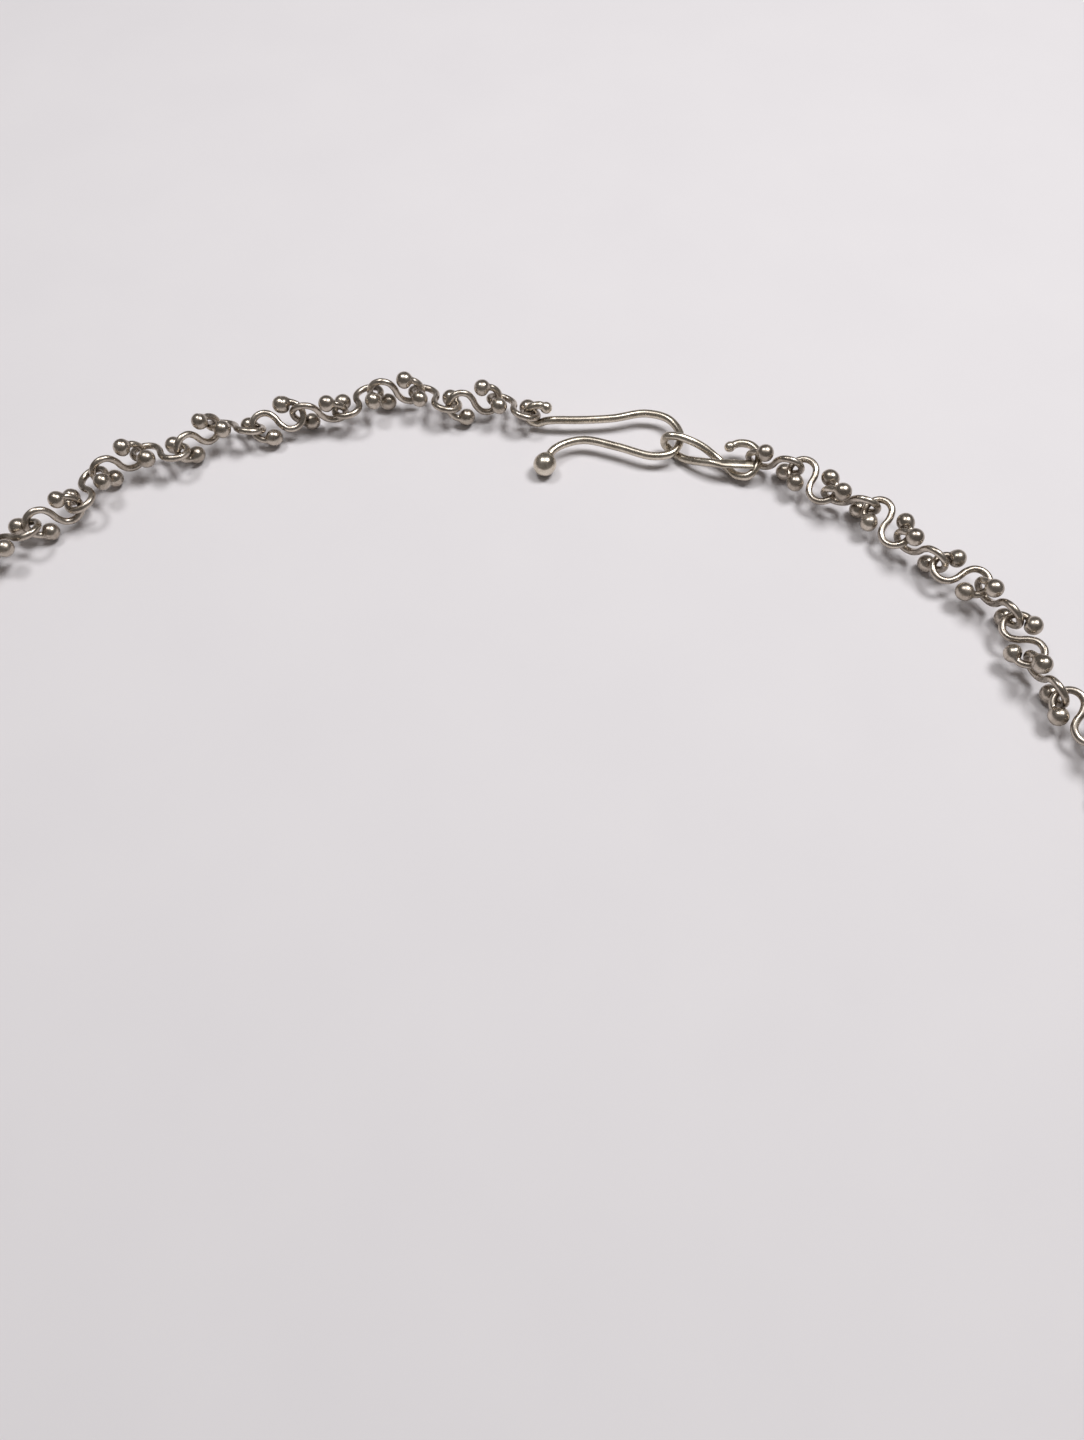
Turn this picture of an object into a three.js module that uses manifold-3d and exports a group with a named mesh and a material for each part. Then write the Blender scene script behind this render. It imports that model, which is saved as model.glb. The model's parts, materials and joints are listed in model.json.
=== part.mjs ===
// Chain necklace: silver S-links with balled wire ends, laid out as a ring and closed at the
// back by a long shepherd's hook and a twisted figure-eight eye. Millimetres, +Z up.
import * as THREE from "three";
import { mergeVertices } from "three/addons/utils/BufferGeometryUtils.js";
import Module from "manifold-3d";

const wasm = await Module();
wasm.setup();

// Driving dimensions, in millimetres and degrees.
const RING_RADIUS = 70.85; // centreline of the necklace as it lies
const LINK_WIRE = 0.86;
const CLASP_WIRE = 1.0;
const LOOP_RADIUS = 1.46; // centreline of each loop of an S-link
const LOOP_OFFSET = 1.84; // from a link's centre to the centre of each loop
const BALL_RADIUS = 1.12;
const BALL_SET_IN = 0.55; // from the loop's centre back towards the link's centre
const BALL_SET_OUT = 1.6; // from the link's long axis
const LOOP_END = 92; // where the loop's arc turns into the stem of the ball
const CROSSING_GAP = 0.42; // clear space between two wires that hold each other
const JOINED_GAP = -0.3; // the same inside a pair, where the two links touch
const FLAT_HOLD = 10; // where the neighbour bears on a flat link's loop, from its far end
const UPRIGHT_HOLD = -10; // the same on a link that stands on edge
const FLAT_SINE = 0.6; // a link counts as flat up to this sine of its roll
const HOOK_TIP_RADIUS = 1.45;
const EASING_LINKS = 3.5; // links over which the chain swings out from the clasp to the ring
const LEFT_PAIRS = 12;
const RIGHT_PAIRS = 13;

const PAIR_SWAY = 1.0; // how far the pairs' crossings lie outside or inside the ring
const PAIR_ROLLS = [-22, 76]; // a pair's near and far link
const PAIR_ROLL_SPREAD = 3;
const PAIR_ROLL_STEP = 2.4; // radians from link to link, so that no two near pairs are alike

// Each single link from the clasp outwards: how far it is turned about the chain's line, from
// lying flat, and how far its far crossing lies outside the ring.
const LEFT_LINKS = [
  [-28, 1.0],
  [66, -1.0],
  [-22, 1.2],
  [84, 1.4],
  [166, -1.4],
  [98, -0.5],
  [38, -0.8],
  [-34, 1.2],
  [76, -1.0],
  [-18, 1.4],
  [80, 1.3],
  [164, -1.4],
  [72, -0.4],
  [-22, 0.2],
  [74, 0.6],
];
const RIGHT_LINKS = [
  [76, 0.6],
  [-20, -0.8],
  [72, 0.6],
  [-24, -0.8],
  [82, -0.4],
  [166, 1.0],
  [78, 1.0],
  [164, -1.0],
  [76, -0.9],
  [-24, 0.4],
  [72, 0.4],
  [-22, -0.4],
  [74, 0.4],
];

// How finely each kind of wire and ball is faceted.
const LINK_SIDES = 5;
const SINGLE_STEPS = 14;
const PAIRED_STEPS = 12;

const SILVER = { color: 0xa39c90, roughness: 0.3, metalness: 1 };
const BRIGHT_SILVER = { color: 0xb5ae9d, roughness: 0.22, metalness: 1 };

const radians = THREE.MathUtils.degToRad;

// A closed geometry as a manifold-3d solid.
function solidOf(geometry) {
  geometry.deleteAttribute("normal");
  geometry.deleteAttribute("uv");
  const merged = mergeVertices(geometry, 1e-5);
  return new wasm.Manifold(
    new wasm.Mesh({
      numProp: 3,
      vertProperties: merged.attributes.position.array,
      triVerts: new Uint32Array(merged.index.array),
    }),
  );
}

// A manifold-3d solid as a geometry.
function geometryOf(solid) {
  const mesh = solid.getMesh();
  const geometry = new THREE.BufferGeometry();
  geometry.setAttribute("position", new THREE.BufferAttribute(mesh.vertProperties, 3));
  geometry.setIndex(new THREE.BufferAttribute(mesh.triVerts, 1));
  geometry.computeVertexNormals();
  return geometry;
}

// Round wire along a smooth curve. The polygon has the area of the round section.
function wireGeometry(points, diameter, sides, steps) {
  const areaRatio = (2 * Math.PI) / (sides * Math.sin((2 * Math.PI) / sides));
  const radius = (diameter / 2) * Math.sqrt(areaRatio);
  const section = new THREE.Shape();
  section.absarc(0, 0, radius, 0, 2 * Math.PI);
  const outline = section.getSpacedPoints(sides).slice(0, sides);
  const extrudePath = new THREE.CatmullRomCurve3(points, false, "centripetal");
  return new THREE.ExtrudeGeometry(new THREE.Shape(outline), { steps, extrudePath });
}

function ballSolid(centre, radius, around, down) {
  const ball = new THREE.SphereGeometry(radius, around, down);
  ball.translate(centre.x, centre.y, centre.z);
  return solidOf(ball);
}

// Half of an S-link's centreline: from its centre, round one loop, to the middle of the ball.
function halfLink() {
  const barAngle = 90 + THREE.MathUtils.radToDeg(Math.asin(LOOP_RADIUS / LOOP_OFFSET));
  const arcs = 6;
  const points = [];
  for (let i = 0; i <= arcs; i++) {
    const angle = radians(-barAngle + ((LOOP_END + barAngle) * i) / arcs);
    const x = LOOP_OFFSET + LOOP_RADIUS * Math.cos(angle);
    points.push(new THREE.Vector3(x, LOOP_RADIUS * Math.sin(angle), 0));
  }
  points.push(new THREE.Vector3(LOOP_OFFSET - BALL_SET_IN, BALL_SET_OUT, 0));
  return points;
}

// One S-link, flat in XY and centred, with its loops at -X and +X.
function linkSolid(sides, steps, around, down) {
  const half = halfLink();
  const other = half.map((p) => p.clone().negate()).reverse();
  const path = [...other, new THREE.Vector3(), ...half];
  const tip = half[half.length - 1];
  return solidOf(wireGeometry(path, LINK_WIRE, sides, steps))
    .add(ballSolid(tip, BALL_RADIUS, around, down))
    .add(ballSolid(tip.clone().negate(), BALL_RADIUS, around, down));
}

const singleLink = linkSolid(LINK_SIDES, SINGLE_STEPS, 6, 5);
const pairedLink = linkSolid(LINK_SIDES - 1, PAIRED_STEPS, 5, 4);

const holdAngle = (roll) =>
  radians(Math.abs(Math.sin(radians(roll))) < FLAT_SINE ? FLAT_HOLD : UPRIGHT_HOLD);

// Where the neighbour is met in the loop at +X: halfway between the two wires.
function holdPoint(gap, roll) {
  const reach = LOOP_RADIUS - (LINK_WIRE + gap) / 2;
  const angle = holdAngle(roll);
  return new THREE.Vector3(LOOP_OFFSET + reach * Math.cos(angle), reach * Math.sin(angle), 0);
}

// The matrix that lays a link between two points of the chain's line, rolled about it.
function linkPlacement(from, to, roll, gapFrom, gapTo) {
  const start = holdPoint(gapFrom, roll).negate();
  const end = holdPoint(gapTo, roll);
  const chord = end.clone().sub(start).normalize();
  const across = new THREE.Vector3(-chord.y, chord.x, 0);
  const local = new THREE.Matrix4().makeBasis(chord, across, new THREE.Vector3(0, 0, 1));
  const along = to.clone().sub(from).normalize();
  const side = new THREE.Vector3(0, 0, 1).cross(along).normalize();
  const up = along.clone().cross(side);
  const normal = up.multiplyScalar(Math.cos(radians(roll)));
  normal.addScaledVector(side, Math.sin(radians(roll)));
  const world = new THREE.Matrix4().makeBasis(along, normal.clone().cross(along), normal);
  const placement = world.multiply(local.transpose());
  return placement.setPosition(from.clone().sub(start.applyMatrix4(placement)));
}

// The direction of a link's wire where it meets its neighbour, at its far or its near loop.
function wireAt(placement, isFar, gap, roll) {
  const angle = holdAngle(roll);
  const sign = isFar ? 1 : -1;
  const outward = new THREE.Vector3(Math.cos(angle), Math.sin(angle), 0).multiplyScalar(sign);
  const point = holdPoint(gap, roll).multiplyScalar(sign);
  point.addScaledVector(outward, (LINK_WIRE + gap) / 2).applyMatrix4(placement);
  const tangent = new THREE.Vector3(-Math.sin(angle), Math.cos(angle), 0);
  return { point, tangent: tangent.transformDirection(placement) };
}

// Height of the chain's line that keeps a rolled link's lower ball on the table.
function rideHeight(roll) {
  const hold = holdPoint(CROSSING_GAP, roll).normalize();
  const standOff = BALL_SET_OUT * hold.x - (LOOP_OFFSET - BALL_SET_IN) * hold.y;
  return BALL_RADIUS + standOff * Math.abs(Math.sin(radians(roll)));
}

// A whole branch's links: the singles, then the pairs, which zigzag from side to side.
function branchLinks(singles, turn, pairs) {
  const paired = [];
  for (let i = 0; i < 2 * pairs; i++) {
    const roll = PAIR_ROLLS[i % 2] + PAIR_ROLL_SPREAD * Math.sin(PAIR_ROLL_STEP * i);
    paired.push([roll, turn * (i % 2 ? -PAIR_SWAY : PAIR_SWAY)]);
  }
  return [...singles, ...paired];
}

// Points of the chain's line for a branch that leaves the clasp at a point and turns
// anticlockwise (+1) or clockwise (-1) around the ring.
function branchLine(first, turn, links, singles) {
  const points = [first];
  const firstRadius = Math.hypot(first.x, first.y);
  let angle = Math.atan2(first.y, first.x);
  let radiusBefore = firstRadius;
  links.forEach(([roll, sway], i) => {
    const within = i >= singles;
    const gapFrom = within && (i - singles) % 2 ? JOINED_GAP : CROSSING_GAP;
    const gapTo = within && (i - singles) % 2 === 0 ? JOINED_GAP : CROSSING_GAP;
    const length = holdPoint(gapFrom, roll).add(holdPoint(gapTo, roll)).length();
    const easing = Math.exp(-(i + 1) / EASING_LINKS);
    const radius = RING_RADIUS + sway + (firstRadius - RING_RADIUS) * easing;
    const next = links[i + 1]?.[0] ?? roll;
    const z = Math.max(rideHeight(roll), rideHeight(next));
    const climb = z - points[i].z;
    const chord = Math.sqrt(length ** 2 - climb ** 2);
    const cosine = (radiusBefore ** 2 + radius ** 2 - chord ** 2) / (2 * radiusBefore * radius);
    angle += turn * Math.acos(cosine);
    points.push(new THREE.Vector3(radius * Math.cos(angle), radius * Math.sin(angle), z));
    radiusBefore = radius;
  });
  return points;
}

const necklace = new THREE.Group();

// Adds a mesh with the pivot that joins it to the piece before it.
function addPiece(name, geometry, finish, pivot) {
  const mesh = new THREE.Mesh(geometry, new THREE.MeshStandardMaterial(finish));
  mesh.name = name;
  mesh.userData = pivot;
  necklace.add(mesh);
  return mesh;
}

// The pivot at a crossing lies along whichever of the two wires is nearer to level.
function crossingPivot(parent, ownWire, parentWire) {
  const level = Math.abs(ownWire.tangent.z) < Math.abs(parentWire.tangent.z);
  const wire = level ? ownWire : parentWire;
  const outward = wire.point.clone().setZ(0).normalize();
  const axis = wire.tangent.clone().multiplyScalar(Math.sign(wire.tangent.dot(outward)));
  return { parent, point: wire.point.toArray(), axis: axis.toArray() };
}

// A branch of the chain, link by link from the clasp.
function addBranch(side, first, turn, links, singles, clasp, claspWire) {
  const line = branchLine(first, turn, links, singles);
  let parent = clasp;
  let parentWire = claspWire;
  const place = (i, gapFrom, gapTo) =>
    linkPlacement(line[i], line[i + 1], links[i][0], gapFrom, gapTo);
  for (let i = 0; i < singles; i++) {
    const placement = place(i, CROSSING_GAP, CROSSING_GAP);
    const roll = links[i][0];
    const pivot = crossingPivot(parent, wireAt(placement, false, CROSSING_GAP, roll), parentWire);
    const name = `${side}_link_${String(i + 1).padStart(2, "0")}`;
    const geometry = geometryOf(singleLink).applyMatrix4(placement);
    addPiece(name, geometry, SILVER, pivot);
    parent = name;
    parentWire = wireAt(placement, true, CROSSING_GAP, roll);
  }
  for (let i = singles; i < links.length; i += 2) {
    const near = place(i, CROSSING_GAP, JOINED_GAP);
    const far = place(i + 1, JOINED_GAP, CROSSING_GAP);
    const ownWire = wireAt(near, false, CROSSING_GAP, links[i][0]);
    const pivot = crossingPivot(parent, ownWire, parentWire);
    const name = `${side}_link_pair_${String((i - singles) / 2 + 1).padStart(2, "0")}`;
    const pair = pairedLink.transform(near.elements).add(pairedLink.transform(far.elements));
    addPiece(name, geometryOf(pair), SILVER, pivot);
    parent = name;
    parentWire = wireAt(far, true, CROSSING_GAP, links[i + 1][0]);
  }
}

// Shepherd's hook: eyelet, upper arm, bend, lower arm and balled tip, nearly level.
const HOOK_LEVEL = 1.7;
const EYELET_RADIUS = 1.35;
const EYELET_CENTRE = new THREE.Vector3(8.7, 66.4, 2.3);
const EYELET_FROM = 35; // the eyelet's wire turns from here to EYELET_TO, leaning aside at first
const EYELET_TO = 320;
const EYELET_LEAN = 0.62;
const EYELET_END_RADIUS = 0.72;
const HOOK_ARM = [
  [10.9, 66.3],
  [14.1, 66.3],
  [18.2, 66.6],
  [22.3, 67.4],
  [25.2, 66.4],
  [26.5, 63.6],
  [25.4, 61.0],
  [23.0, 60.4],
  [18.6, 61.9],
  [14.6, 63.0],
  [12.1, 62.4],
  [10.5, 61.2],
  [9.6, 59.4],
];

function hookSolid() {
  const eyelet = [];
  const parts = 6;
  for (let i = 0; i <= parts; i++) {
    const angle = radians(EYELET_FROM + ((EYELET_TO - EYELET_FROM) * i) / parts);
    const across = EYELET_RADIUS * Math.cos(angle);
    const up = EYELET_RADIUS * Math.sin(angle);
    const lean = EYELET_LEAN * (1 - i / parts);
    eyelet.push(EYELET_CENTRE.clone().add(new THREE.Vector3(across, lean, up)));
  }
  const arm = HOOK_ARM.map(([x, y]) => new THREE.Vector3(x, y, HOOK_LEVEL));
  const tip = arm[arm.length - 1].clone().setZ(HOOK_TIP_RADIUS - 0.1);
  arm[arm.length - 1] = tip;
  const wire = solidOf(wireGeometry([...eyelet, ...arm], CLASP_WIRE, 6, 40));
  const table = new THREE.BoxGeometry(10, 10, 2);
  table.translate(tip.x, tip.y, -1);
  return wire
    .add(ballSolid(eyelet[0], EYELET_END_RADIUS, 8, 6))
    .add(ballSolid(tip, HOOK_TIP_RADIUS, 12, 8))
    .subtract(solidOf(table));
}

// Figure-eight eye: hammered tab, long loop round the hook's bend, short loop for the chain.
const EYE_WIRE_PATH = [
  [33.7, 58.6, 2.3],
  [31.0, 58.8, 2.2],
  [28.7, 59.7, 1.5],
  [26.8, 60.9, 0.72],
  [25.4, 62.2, 0.56],
  [24.5, 62.8, 1.3],
  [24.6, 62.7, 2.6],
  [25.7, 62.4, 3.05],
  [27.4, 62.0, 2.75],
  [29.1, 61.5, 2.1],
  [30.7, 60.6, 1.3],
  [32.1, 59.4, 0.8],
  [33.0, 58.2, 0.8],
  [34.4, 57.6, 1.3],
  [35.5, 58.6, 1.9],
  [35.8, 60.2, 2.3],
  [35.0, 61.6, 2.3],
  [33.6, 62.1, 2.1],
  [32.4, 61.7, 1.9],
];
const TAB_SIZE = [3.4, 1.3, 0.66];
const TAB_CENTRE = [33.0, 58.65, 2.3];
const TAB_TURN = -3;
const EYE_END_RADIUS = 0.66;

function eyeSolid() {
  const path = EYE_WIRE_PATH.map((p) => new THREE.Vector3(...p));
  const tab = new THREE.BoxGeometry(...TAB_SIZE);
  tab.rotateZ(radians(TAB_TURN));
  tab.translate(...TAB_CENTRE);
  return solidOf(wireGeometry(path, CLASP_WIRE, 6, 40))
    .add(solidOf(tab))
    .add(ballSolid(path[path.length - 1], EYE_END_RADIUS, 8, 6));
}

addPiece("shepherd_hook", geometryOf(hookSolid()), BRIGHT_SILVER, {});
addPiece("figure_eight_eye", geometryOf(eyeSolid()), BRIGHT_SILVER, {
  parent: "shepherd_hook",
  point: [26.25, 62.2, HOOK_LEVEL],
  axis: [0.35, 0.937, 0],
});

// The chain's line starts where the clasp's end loops hold the first links.
const claspReach = (CLASP_WIRE - LINK_WIRE) / 2 + (LINK_WIRE + CROSSING_GAP) / 2;
const leftStart = EYELET_CENTRE.clone();
leftStart.x += claspReach - EYELET_RADIUS;
leftStart.y += 0.2;
const hookWire = {
  point: leftStart.clone().add(new THREE.Vector3(-claspReach, 0, 0)),
  tangent: new THREE.Vector3(0, 0, 1),
};
const eyeWire = {
  point: new THREE.Vector3(35.75, 59.3, 2.25),
  tangent: new THREE.Vector3(0.35, 0.93, 0.06).normalize(),
};
const rightStart = eyeWire.point.clone().add(new THREE.Vector3(-0.6, 0.36, -0.1));

const left = branchLinks(LEFT_LINKS, 1, LEFT_PAIRS);
const right = branchLinks(RIGHT_LINKS, -1, RIGHT_PAIRS);
addBranch("left", leftStart, 1, left, LEFT_LINKS.length, "shepherd_hook", hookWire);
addBranch("right", rightStart, -1, right, RIGHT_LINKS.length, "figure_eight_eye", eyeWire);

// The origin is under the middle of the ring, on the table.
const box = new THREE.Box3().setFromObject(necklace);
const middle = box.getCenter(new THREE.Vector3());
necklace.position.set(-middle.x, -middle.y, -box.min.z);
const group = new THREE.Group();
group.add(necklace);

export default group;
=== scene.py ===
"""Chain necklace: silver S-links with balled ends, a shepherd's hook and a figure-eight eye."""

import json
import math
import random

import bmesh
import bpy
from mathutils import Matrix, Vector


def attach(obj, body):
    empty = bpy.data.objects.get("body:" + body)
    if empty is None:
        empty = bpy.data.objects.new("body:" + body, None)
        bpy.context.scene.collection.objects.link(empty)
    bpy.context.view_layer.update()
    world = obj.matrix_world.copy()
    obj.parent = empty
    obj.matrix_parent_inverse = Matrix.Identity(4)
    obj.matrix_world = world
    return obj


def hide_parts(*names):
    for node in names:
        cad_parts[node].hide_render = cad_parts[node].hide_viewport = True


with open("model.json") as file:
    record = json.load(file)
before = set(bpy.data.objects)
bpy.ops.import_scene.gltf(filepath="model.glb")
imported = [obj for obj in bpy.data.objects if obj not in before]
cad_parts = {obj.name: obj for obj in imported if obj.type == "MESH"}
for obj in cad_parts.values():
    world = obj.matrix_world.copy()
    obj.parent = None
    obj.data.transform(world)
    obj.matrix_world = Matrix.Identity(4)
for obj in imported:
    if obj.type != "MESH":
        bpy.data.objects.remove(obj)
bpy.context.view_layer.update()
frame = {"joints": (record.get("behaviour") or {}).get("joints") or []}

MM = 0.001

# The chain's driving dimensions, in millimetres and degrees, as the frame was made.
RING_RADIUS = 70.85
LINK_WIRE = 0.86
CLASP_WIRE = 1.0
LOOP_RADIUS = 1.46
LOOP_OFFSET = 1.84
BALL_RADIUS = 1.12
BALL_SET_IN = 0.55
BALL_SET_OUT = 1.6
LOOP_END = 92
ROUNDER = 0.14  # the wire's loops are this much wider than the frame's, and as much closer
CROSSING_GAP = 0.42
JOINED_GAP = -0.3
FLAT_HOLD = 10
UPRIGHT_HOLD = -10
FLAT_SINE = 0.6
HOOK_TIP_RADIUS = 1.45
HAMMERED_THIN = 0.42
HAMMERED_WIDE = 0.3
EASING_LINKS = 3.5
LEFT_PAIRS = 12
RIGHT_PAIRS = 13
PAIR_SWAY = 1.0
PAIR_ROLLS = (-22, 76)
PAIR_ROLL_SPREAD = 3
PAIR_ROLL_STEP = 2.4

# Each single link's roll about the chain's line and the sway of its far crossing.
LEFT_LINKS = [
    (-28, 1.0),
    (66, -1.0),
    (-22, 1.2),
    (84, 1.4),
    (166, -1.4),
    (98, -0.5),
    (38, -0.8),
    (-34, 1.2),
    (76, -1.0),
    (-18, 1.4),
    (80, 1.3),
    (164, -1.4),
    (72, -0.4),
    (-22, 0.2),
    (74, 0.6),
]
RIGHT_LINKS = [
    (76, 0.6),
    (-20, -0.8),
    (72, 0.6),
    (-24, -0.8),
    (82, -0.4),
    (166, 1.0),
    (78, 1.0),
    (164, -1.0),
    (76, -0.9),
    (-24, 0.4),
    (72, 0.4),
    (-22, -0.4),
    (74, 0.4),
]

# How finely the wire is swept, and how much one hand-made link differs from the next.
SPLINE_STEPS = 24
LINK_RINGS = 110
LINK_SIDES = 20
HOOK_RINGS = 420
EYE_RINGS = 320
CLASP_SIDES = 28
BALL_RINGS = 14
NECK_SHARPNESS = 5
LOOP_STEPS = 7
STEEPEST_SINE = 0.97
RADIUS_SPREAD = 0.03
LOOP_END_SPREAD = (-4, 12)
TWIST_SPREAD = 0.05
BALL_TWIST = 1.4
BALL_SIZES = (0.89, 0.98)
BALL_STRETCHES = (0.94, 1.08)
WIRE_SIZES = (0.94, 0.97)
LEFT_SEED = 100
RIGHT_SEED = 300

# The hook: its eyelet's circle stands across the table, and its arm lies at one level.
EYELET_RADIUS = 1.35
EYELET_CENTRE = Vector((8.7, 66.4, 2.3))
EYELET_STEPS = 7
EYELET_FROM = 35
EYELET_STEP = 47.5
EYELET_LEAN = 0.62
HOOK_LEVEL = 1.7
HOOK_END_BALL = (0.72, 1.0)
HOOK_TIP_BALL = (HOOK_TIP_RADIUS * 0.97, 1.06)
HOOK_TIP_SINK = 0.1
HOOK_ARM = [
    (10.9, 66.3),
    (14.1, 66.3),
    (18.2, 66.6),
    (22.3, 67.4),
    (25.2, 66.4),
    (26.5, 63.6),
    (25.4, 61.0),
    (23.0, 60.4),
    (18.6, 61.9),
    (14.6, 63.0),
    (12.1, 62.4),
    (10.5, 61.2),
    (9.6, 59.4),
]

# The eye: from its hammered end, round the hook, back under itself and into the small loop.
EYE_WIRE_PATH = [
    (34.9, 58.45, 2.35),
    (31.0, 58.8, 2.2),
    (28.7, 59.7, 1.5),
    (26.8, 60.9, 0.72),
    (25.4, 62.2, 0.56),
    (24.5, 62.8, 1.3),
    (24.6, 62.7, 2.6),
    (25.7, 62.4, 3.05),
    (27.4, 62.0, 2.75),
    (29.1, 61.5, 2.1),
    (30.7, 60.6, 1.3),
    (32.1, 59.4, 0.8),
    (33.0, 58.2, 0.8),
    (34.4, 57.6, 1.3),
    (35.5, 58.6, 1.9),
    (35.8, 60.2, 2.3),
    (35.0, 61.6, 2.3),
    (33.6, 62.1, 2.1),
    (32.4, 61.7, 1.9),
]
EYE_HAMMERED_BALL = (0.5, 0.5)
EYE_END_BALL = (0.64, 1.0)
HAMMERED_LENGTH = 3.6
HAMMERED_FADE = 1.4

# Where each branch of the chain is held by the clasp.
CLASP_REACH = (CLASP_WIRE - LINK_WIRE) / 2 + (LINK_WIRE + CROSSING_GAP) / 2
LEFT_START = EYELET_CENTRE + Vector((CLASP_REACH - EYELET_RADIUS, 0.2, 0))
RIGHT_START = Vector((35.15, 59.66, 2.15))

# Colours of the metal and the paper, how the silver is marked, and the painted shade where the
# silver comes close to the table or another wire.
WHITE = (1, 1, 1)
SPECK_COLOUR = (0.62, 0.58, 0.52)
# Painted shade: the silver's colour darkens towards this wherever the table or another wire lies
# within this reach.
CREVICE_SHADE_COLOUR = (0.30, 0.26, 0.23)
CREVICE_SHADE_REACH = 0.9
SPECK_STRENGTH = 0.6
CREVICE_SHADE_STRENGTH = 0.85
GLOSS_BELOW = 0.07
GLOSS_ABOVE = 0.11
DENT_DEPTH = 0.06
GRAIN_DEPTH = 0.012
PAPER_DARK = (0.77, 0.745, 0.762)
PAPER_LIGHT = (0.81, 0.785, 0.797)
PAPER_MOTTLE = 60
TABLE_HALF_SIDE = 3.0

# Soft round lights, in metres and watts: name, place, aim, size, power, colour.
LIGHTS = [
    ("left", (-0.15, 0.17, 0.45), (-0.02, 0.05, 0), 0.13, 0.64, (0.99, 0.99, 1.0)),
    ("right", (0.22, 0.14, 0.45), (0.03, 0.04, 0), 0.18, 1.4, (0.99, 0.99, 1.0)),
    ("top", (0.05, 0.12, 0.6), (0.02, 0.04, 0), 0.3, 0.42, (1.0, 0.98, 0.98)),
]
ROOM_COLOUR = (0.95, 0.9, 0.87)
ROOM_STRENGTH = 0.16

# Where the camera stood: over the ring's clasp half, looking along +Y and down.
CAMERA_HEIGHT = 104.0
CAMERA_X = 0.089 * CAMERA_HEIGHT
CAMERA_Y = -0.296 * CAMERA_HEIGHT
CAMERA_PITCH_DOWN = 62.0
CAMERA_LENS = 27.04
FILM_SIDE = 36.0


def frame_shift():
    """From the chain's own layout, in millimetres, to the frame: the eye's pivot is in both."""
    pivot = next(j for j in frame["joints"] if j["child"] == "figure_eight_eye")
    return Vector(pivot["pos_m"]) / MM - Vector((26.25, 62.2, 1.7))


SHIFT = frame_shift()


# ---------------------------------------------------------------- layout of the links


def hold_point(gap, roll):
    """Where the neighbour is met in the loop at +X: halfway between the two wires."""
    reach = LOOP_RADIUS - (LINK_WIRE + gap) / 2
    flat = abs(math.sin(math.radians(roll))) < FLAT_SINE
    angle = math.radians(FLAT_HOLD if flat else UPRIGHT_HOLD)
    return Vector((LOOP_OFFSET + reach * math.cos(angle), reach * math.sin(angle), 0))


def link_placement(start_at, end_at, roll, gap_from, gap_to):
    """The matrix that lays a link between two points of the chain's line, rolled about it."""
    start = -hold_point(gap_from, roll)
    end = hold_point(gap_to, roll)
    chord = (end - start).normalized()
    local = Matrix((chord, (-chord.y, chord.x, 0), (0, 0, 1)))
    along = (end_at - start_at).normalized()
    side = Vector((0, 0, 1)).cross(along).normalized()
    normal = along.cross(side) * math.cos(math.radians(roll)) + side * math.sin(math.radians(roll))
    world = Matrix((along, normal.cross(along), normal)).transposed()
    turn = world @ local
    return Matrix.Translation(start_at - turn @ start) @ turn.to_4x4()


def ride_height(roll):
    """Height of the chain's line that keeps a rolled link's lower ball on the table."""
    hold = hold_point(CROSSING_GAP, roll).normalized()
    stand_off = BALL_SET_OUT * hold.x - (LOOP_OFFSET - BALL_SET_IN) * hold.y
    return BALL_RADIUS + stand_off * abs(math.sin(math.radians(roll)))


def branch_links(singles, turn, pairs):
    """The roll and sway of a branch's links: the listed ones, then the paired ones."""
    paired = []
    for i in range(2 * pairs):
        roll = PAIR_ROLLS[i % 2] + PAIR_ROLL_SPREAD * math.sin(PAIR_ROLL_STEP * i)
        paired.append((roll, turn * (-PAIR_SWAY if i % 2 else PAIR_SWAY)))
    return singles + paired


def link_gaps(i, singles):
    """The gap at a link's near and far hold."""
    if i < singles:
        return CROSSING_GAP, CROSSING_GAP
    if (i - singles) % 2:
        return JOINED_GAP, CROSSING_GAP
    return CROSSING_GAP, JOINED_GAP


def branch_line(first, turn, links, singles):
    """Points of the chain's line, from the clasp round the ring."""
    points = [first]
    first_radius = math.hypot(first.x, first.y)
    radius_before = first_radius
    angle = math.atan2(first.y, first.x)
    for i, (roll, sway) in enumerate(links):
        gap_from, gap_to = link_gaps(i, singles)
        length = (hold_point(gap_from, roll) + hold_point(gap_to, roll)).length
        easing = math.exp(-(i + 1) / EASING_LINKS)
        radius = RING_RADIUS + sway + (first_radius - RING_RADIUS) * easing
        following = links[i + 1][0] if i + 1 < len(links) else roll
        z = max(ride_height(roll), ride_height(following))
        chord = math.sqrt(length**2 - (z - points[i].z) ** 2)
        cosine = (radius_before**2 + radius**2 - chord**2) / (2 * radius_before * radius)
        angle += turn * math.acos(cosine)
        points.append(Vector((radius * math.cos(angle), radius * math.sin(angle), z)))
        radius_before = radius
    return points


# ---------------------------------------------------------------- wire and ball meshes


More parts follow.
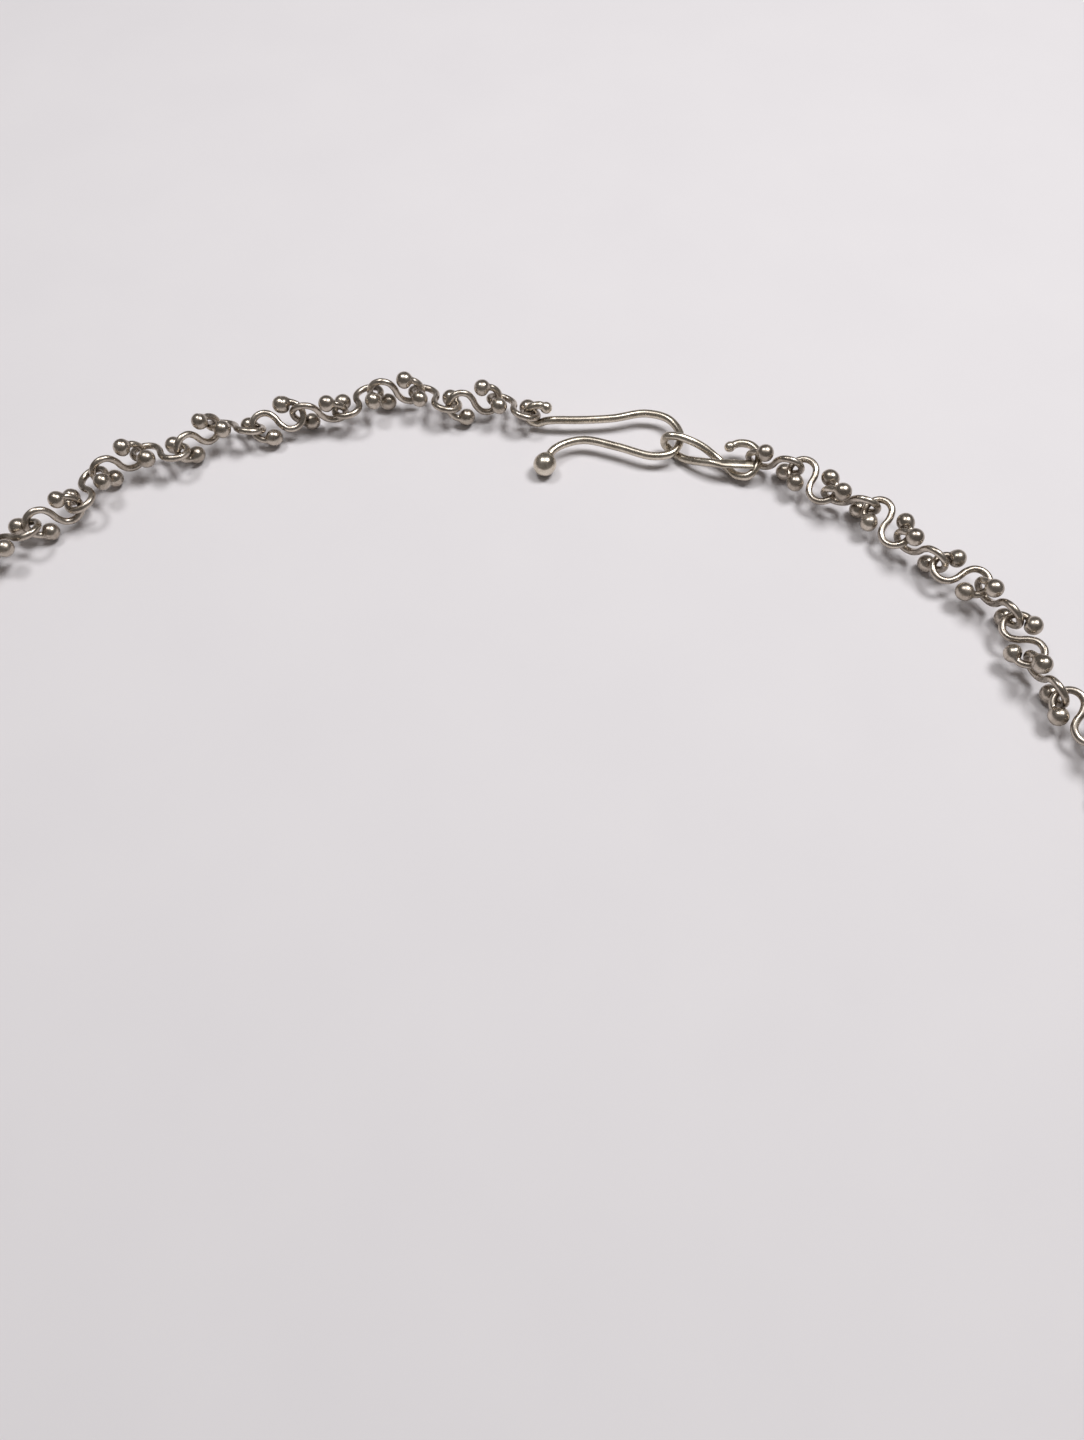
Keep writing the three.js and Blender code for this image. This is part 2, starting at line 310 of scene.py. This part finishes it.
def catmull_rom(points, count):
    """Evenly spaced points on the centripetal spline through some points."""
    padded = [2 * points[0] - points[1], *points, 2 * points[-1] - points[-2]]
    dense = []
    for a, b, c, d in zip(padded, padded[1:], padded[2:], padded[3:]):
        t1 = (b - a).length ** 0.5
        t2 = t1 + (c - b).length ** 0.5
        t3 = t2 + (d - c).length ** 0.5
        for i in range(SPLINE_STEPS):
            t = t1 + (t2 - t1) * i / SPLINE_STEPS
            ab = a * (t1 - t) / t1 + b * t / t1
            bc = b * (t2 - t) / (t2 - t1) + c * (t - t1) / (t2 - t1)
            cd = c * (t3 - t) / (t3 - t2) + d * (t - t2) / (t3 - t2)
            abc = ab * (t2 - t) / t2 + bc * t / t2
            bcd = bc * (t3 - t) / (t3 - t1) + cd * (t - t1) / (t3 - t1)
            dense.append(abc * (t2 - t) / (t2 - t1) + bcd * (t - t1) / (t2 - t1))
    dense.append(points[-1].copy())
    return respaced(dense, count)


def respaced(dense, count):
    """A polyline resampled to evenly spaced points."""
    lengths = [0.0]
    for a, b in zip(dense, dense[1:]):
        lengths.append(lengths[-1] + (b - a).length)
    result = []
    j = 0
    for i in range(count):
        target = lengths[-1] * i / (count - 1)
        while j < len(dense) - 2 and lengths[j + 1] < target:
            j += 1
        span = lengths[j + 1] - lengths[j]
        result.append(dense[j].lerp(dense[j + 1], (target - lengths[j]) / span))
    return result


def swept_mesh(name, rings, sides, flatness=None):
    """A closed skin over rings of (centre, radius) along a path, pinched to a point at each end.

    flatness says, ring by ring, how far the wire is hammered flat from above."""
    bm = bmesh.new()
    centres = [centre for centre, _ in rings]
    normal = None
    loops = []
    for i, (centre, radius) in enumerate(rings):
        ahead = centres[min(i + 1, len(rings) - 1)]
        behind = centres[max(i - 1, 0)]
        tangent = (ahead - behind).normalized()
        if normal is None:
            normal = tangent.orthogonal().normalized()
        normal = (normal - tangent * normal.dot(tangent)).normalized()
        binormal = tangent.cross(normal)
        if i in (0, len(rings) - 1):
            loops.append([bm.verts.new(centre)])
            continue
        ring = []
        for k in range(sides):
            angle = 2 * math.pi * k / sides
            spoke = (normal * math.cos(angle) + binormal * math.sin(angle)) * radius
            if flatness and flatness[i] > 0:
                spoke.z *= 1 - HAMMERED_THIN * flatness[i]
                spoke.y *= 1 + HAMMERED_WIDE * flatness[i]
            ring.append(bm.verts.new(centre + spoke))
        loops.append(ring)
    for near, far in zip(loops, loops[1:]):
        for k in range(sides):
            corners = [near[k % len(near)], near[(k + 1) % len(near)]]
            corners += [far[(k + 1) % len(far)], far[k % len(far)]]
            unique = list(dict.fromkeys(corners))
            bm.faces.new(unique)
    bmesh.ops.recalc_face_normals(bm, faces=bm.faces)
    mesh = bpy.data.meshes.new(name)
    bm.to_mesh(mesh)
    bm.free()
    mesh.polygons.foreach_set("use_smooth", [True] * len(mesh.polygons))
    return mesh


def balled_wire(path, wire, start_ball, end_ball):
    """Rings for a wire whose ends melt into balls centred on the path's two ends.

    A ball is (radius, length along the wire over its width)."""
    total = sum((b - a).length for a, b in zip(path, path[1:]))

    def ball_end(centre, outward, ball):
        radius, stretch = ball
        cap = []
        for i in range(BALL_RINGS + 1):
            angle = math.pi / 2 * i / BALL_RINGS
            out = radius * stretch * math.cos(angle)
            cap.append((centre + outward * out, radius * math.sin(angle)))
        return cap

    start_out = (path[0] - path[1]).normalized()
    end_out = (path[-1] - path[-2]).normalized()
    rings = ball_end(path[0], start_out, start_ball)
    walked = 0.0
    for a, b in zip(path, path[1:-1]):
        walked += (b - a).length
        radius = wire / 2
        for distance, (ball, stretch) in ((walked, start_ball), (total - walked, end_ball)):
            reach = ball * stretch
            inside = max(0.0, 1 - (distance / reach) ** 2) ** 0.5 * ball
            blend = radius**NECK_SHARPNESS + inside**NECK_SHARPNESS
            radius = blend ** (1 / NECK_SHARPNESS)
        rings.append((b, radius))
    rings += reversed(ball_end(path[-1], end_out, end_ball))
    return rings


def half_link(chance):
    """Half of an S-link's centreline, from its centre round one loop to the ball."""
    radius = LOOP_RADIUS + ROUNDER + chance.uniform(-RADIUS_SPREAD, RADIUS_SPREAD)
    offset = LOOP_OFFSET + LOOP_RADIUS - radius
    loop_end = LOOP_END + chance.uniform(*LOOP_END_SPREAD)
    twist = chance.uniform(-TWIST_SPREAD, TWIST_SPREAD)
    bar = 90 + math.degrees(math.asin(min(STEEPEST_SINE, radius / offset)))
    points = []
    for i in range(LOOP_STEPS + 1):
        share = i / LOOP_STEPS
        angle = math.radians(-bar + (loop_end + bar) * share)
        x = offset + radius * math.cos(angle)
        points.append(Vector((x, radius * math.sin(angle), twist * share)))
    points.append(Vector((LOOP_OFFSET - BALL_SET_IN, BALL_SET_OUT, twist * BALL_TWIST)))
    return points


def link_rings(seed):
    """Rings of one S-link, each a little different, as hand-bent wire is."""
    chance = random.Random(seed)
    ends = [[sign * p for p in half_link(chance)] for sign in (-1, 1)]
    path = [*reversed(ends[0]), Vector((0, 0, 0)), *ends[1]]
    smooth = catmull_rom(path, LINK_RINGS)
    balls = []
    for _ in range(2):
        size = BALL_RADIUS * chance.uniform(*BALL_SIZES)
        balls.append((size, chance.uniform(*BALL_STRETCHES)))
    return balled_wire(smooth, LINK_WIRE * chance.uniform(*WIRE_SIZES), *balls)


def placed(rings, placement):
    """Rings moved into the frame, in metres."""
    return [((placement @ centre + SHIFT) * MM, radius * MM) for centre, radius in rings]


def add_object(name, mesh, material):
    obj = bpy.data.objects.new(name, mesh)
    bpy.context.scene.collection.objects.link(obj)
    mesh.materials.append(material)
    return obj


# ---------------------------------------------------------------- materials


def silver_material(name, base, tarnish, gloss, scale):
    """Sterling silver: warm grey, clouded by tarnish, finely scratched and slightly hammered, with
    painted shade near the table and other wires.
    """
    material = bpy.data.materials.new(name)
    material.use_nodes = True
    nodes = material.node_tree.nodes
    links = material.node_tree.links
    nodes.clear()
    output = nodes.new("ShaderNodeOutputMaterial")
    shader = nodes.new("ShaderNodeBsdfPrincipled")
    shader.inputs["Metallic"].default_value = 1.0
    links.new(shader.outputs["BSDF"], output.inputs["Surface"])
    place = nodes.new("ShaderNodeTexCoord")

    def noise(size, detail, roughness=0.6):
        node = nodes.new("ShaderNodeTexNoise")
        node.inputs["Scale"].default_value = size
        node.inputs["Detail"].default_value = detail
        node.inputs["Roughness"].default_value = roughness
        links.new(place.outputs["Object"], node.inputs["Vector"])
        return node

    def ramp(source, low, high, stops):
        node = nodes.new("ShaderNodeValToRGB")
        node.color_ramp.elements[0].position = low
        node.color_ramp.elements[1].position = high
        for element, colour in zip(node.color_ramp.elements, stops):
            element.color = (*colour, 1)
        links.new(source, node.inputs["Fac"])
        return node.outputs["Color"]

    def mix(blend, factor, a, b):
        node = nodes.new("ShaderNodeMix")
        node.data_type = "RGBA"
        node.blend_type = blend
        node.inputs["Factor"].default_value = factor
        links.new(a, node.inputs["A"])
        links.new(b, node.inputs["B"])
        return node.outputs["Result"]

    clouds = ramp(noise(scale, 5).outputs["Fac"], 0.36, 0.66, (tarnish, base))
    specks = ramp(noise(scale * 9, 3).outputs["Fac"], 0.30, 0.52, (SPECK_COLOUR, WHITE))
    # Painted shade: ambient occlusion darkens the colour where the table, a crossing link or a
    # ball lies close.
    occlusion_probe = nodes.new("ShaderNodeAmbientOcclusion")
    occlusion_probe.samples = 6
    occlusion_probe.inputs["Distance"].default_value = CREVICE_SHADE_REACH * MM
    painted_crevice_shade = ramp(occlusion_probe.outputs["AO"], 0.15, 0.85, (CREVICE_SHADE_COLOUR, WHITE))
    colour = mix("MULTIPLY", SPECK_STRENGTH, clouds, specks)
    colour = mix("MULTIPLY", CREVICE_SHADE_STRENGTH, colour, painted_crevice_shade)
    links.new(colour, shader.inputs["Base Color"])

    haze = noise(scale * 2.2, 4)
    spread = nodes.new("ShaderNodeMapRange")
    spread.inputs["From Min"].default_value = 0.3
    spread.inputs["From Max"].default_value = 0.7
    spread.inputs["To Min"].default_value = gloss - GLOSS_BELOW
    spread.inputs["To Max"].default_value = gloss + GLOSS_ABOVE
    links.new(haze.outputs["Fac"], spread.inputs["Value"])
    links.new(spread.outputs["Result"], shader.inputs["Roughness"])

    dents = nodes.new("ShaderNodeBump")
    dents.inputs["Strength"].default_value = 0.35
    dents.inputs["Distance"].default_value = DENT_DEPTH * MM
    links.new(noise(scale * 1.6, 2).outputs["Fac"], dents.inputs["Height"])
    grain = nodes.new("ShaderNodeBump")
    grain.inputs["Strength"].default_value = 0.25
    grain.inputs["Distance"].default_value = GRAIN_DEPTH * MM
    links.new(noise(scale * 24, 4, 0.7).outputs["Fac"], grain.inputs["Height"])
    links.new(dents.outputs["Normal"], grain.inputs["Normal"])
    links.new(grain.outputs["Normal"], shader.inputs["Normal"])
    return material


LINK_SILVER = silver_material("link_silver", (0.64, 0.575, 0.5), (0.4, 0.35, 0.295), 0.27, 520)
CLASP_SILVER = silver_material("clasp_silver", (0.76, 0.69, 0.59), (0.52, 0.465, 0.385), 0.25, 380)


# ---------------------------------------------------------------- the chain


def add_link(name, body, placement, seed):
    """One link's wire, riding on its body."""
    mesh = swept_mesh(name, placed(link_rings(seed), placement), LINK_SIDES)
    obj = add_object(name, mesh, LINK_SILVER)
    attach(obj, body)
    return obj


def add_branch(side, first, turn, links, singles, seed):
    """All the links on one side of the clasp. Past the singles, two links share a node."""
    line = branch_line(first, turn, links, singles)
    for i, (roll, _) in enumerate(links):
        placement = link_placement(line[i], line[i + 1], roll, *link_gaps(i, singles))
        if i < singles:
            node = f"{side}_link_{i + 1:02d}"
            piece = f"{node}_wire"
        else:
            node = f"{side}_link_pair_{(i - singles) // 2 + 1:02d}"
            end = "far" if (i - singles) % 2 else "near"
            piece = f"{node}_{end}_wire"
        obj = add_link(piece, node, placement, seed + i)
        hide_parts(node)


def add_hook():
    """One wire: the standing eyelet, the arm and return bend, and the ball on the tip."""
    path = []
    for i in range(EYELET_STEPS):
        angle = EYELET_FROM + EYELET_STEP * i
        x = EYELET_CENTRE.x + EYELET_RADIUS * math.cos(math.radians(angle))
        z = EYELET_CENTRE.z + EYELET_RADIUS * math.sin(math.radians(angle))
        lean = EYELET_LEAN * (1 - i / (EYELET_STEPS - 1))
        path.append(Vector((x, EYELET_CENTRE.y + lean, z)))
    path += [Vector((x, y, HOOK_LEVEL)) for x, y in HOOK_ARM]
    path[-1].z = HOOK_TIP_RADIUS - HOOK_TIP_SINK
    smooth = catmull_rom(path, HOOK_RINGS)
    rings = balled_wire(smooth, CLASP_WIRE, HOOK_END_BALL, HOOK_TIP_BALL)
    mesh = swept_mesh("hook_wire", placed(rings, Matrix()), CLASP_SIDES)
    hook = add_object("hook_wire", mesh, CLASP_SILVER)
    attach(hook, "shepherd_hook")
    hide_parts("shepherd_hook")


def add_eye():
    """One wire: the hammered end, round the hook, under itself and the small curled loop."""
    path = [Vector(point) for point in EYE_WIRE_PATH]
    smooth = catmull_rom(path, EYE_RINGS)
    rings = balled_wire(smooth, CLASP_WIRE, EYE_HAMMERED_BALL, EYE_END_BALL)
    flatness = []
    for i, (centre, _) in enumerate(rings):
        away = 0.0 if i <= BALL_RINGS else (centre - path[0]).length
        share = (HAMMERED_LENGTH + HAMMERED_FADE - away) / HAMMERED_FADE
        flatness.append(min(1, max(0, share)) if i < len(rings) // 3 else 0)
    mesh = swept_mesh("eye_wire", placed(rings, Matrix()), CLASP_SIDES, flatness)
    eye = add_object("eye_wire", mesh, CLASP_SILVER)
    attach(eye, "figure_eight_eye")
    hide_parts("figure_eight_eye")


add_hook()
add_eye()
left = branch_links(LEFT_LINKS, 1, LEFT_PAIRS)
right = branch_links(RIGHT_LINKS, -1, RIGHT_PAIRS)
add_branch("left", LEFT_START, 1, left, len(LEFT_LINKS), LEFT_SEED)
add_branch("right", RIGHT_START, -1, right, len(RIGHT_LINKS), RIGHT_SEED)


# ---------------------------------------------------------------- table, light, camera


def paper_material():
    """White paper: faintly mottled."""
    material = bpy.data.materials.new("paper")
    material.use_nodes = True
    nodes = material.node_tree.nodes
    links = material.node_tree.links
    shader = nodes["Principled BSDF"]
    shader.inputs["Roughness"].default_value = 0.85
    place = nodes.new("ShaderNodeTexCoord")
    mottle = nodes.new("ShaderNodeTexNoise")
    mottle.inputs["Scale"].default_value = PAPER_MOTTLE
    mottle.inputs["Detail"].default_value = 4
    links.new(place.outputs["Object"], mottle.inputs["Vector"])
    tone = nodes.new("ShaderNodeValToRGB")
    tone.color_ramp.elements[0].color = (*PAPER_DARK, 1)
    tone.color_ramp.elements[1].color = (*PAPER_LIGHT, 1)
    links.new(mottle.outputs["Fac"], tone.inputs["Fac"])
    links.new(tone.outputs["Color"], shader.inputs["Base Color"])
    return material


def add_table():
    bm = bmesh.new()
    bmesh.ops.create_grid(bm, x_segments=1, y_segments=1, size=TABLE_HALF_SIDE)
    mesh = bpy.data.meshes.new("table_top")
    bm.to_mesh(mesh)
    bm.free()
    table = add_object("table_top", mesh, paper_material())


def add_light(name, location, target, size, power, colour):
    light = bpy.data.lights.new(name, "AREA")
    light.shape = "DISK"
    light.size = size
    light.energy = power
    light.color = colour
    obj = bpy.data.objects.new(name, light)
    obj.location = location
    aim = Vector(target) - Vector(location)
    obj.rotation_euler = aim.to_track_quat("-Z", "Y").to_euler()
    bpy.context.scene.collection.objects.link(obj)


def add_world():
    world = bpy.data.worlds.new("studio")
    bpy.context.scene.world = world
    world.use_nodes = True
    background = world.node_tree.nodes["Background"]
    background.inputs["Color"].default_value = (*ROOM_COLOUR, 1)
    background.inputs["Strength"].default_value = ROOM_STRENGTH


def add_camera():
    data = bpy.data.cameras.new("camera")
    data.lens = CAMERA_LENS
    data.sensor_width = FILM_SIDE
    data.clip_start = 0.001
    camera = bpy.data.objects.new("camera", data)
    camera.location = (Vector((CAMERA_X, CAMERA_Y, CAMERA_HEIGHT)) + SHIFT) * MM
    camera.rotation_euler = (math.radians(90 - CAMERA_PITCH_DOWN), 0, 0)
    bpy.context.scene.collection.objects.link(camera)
    bpy.context.scene.camera = camera


add_table()
for settings in LIGHTS:
    add_light(*settings)
add_world()
add_camera()
bpy.context.scene.view_settings.view_transform = "Standard"
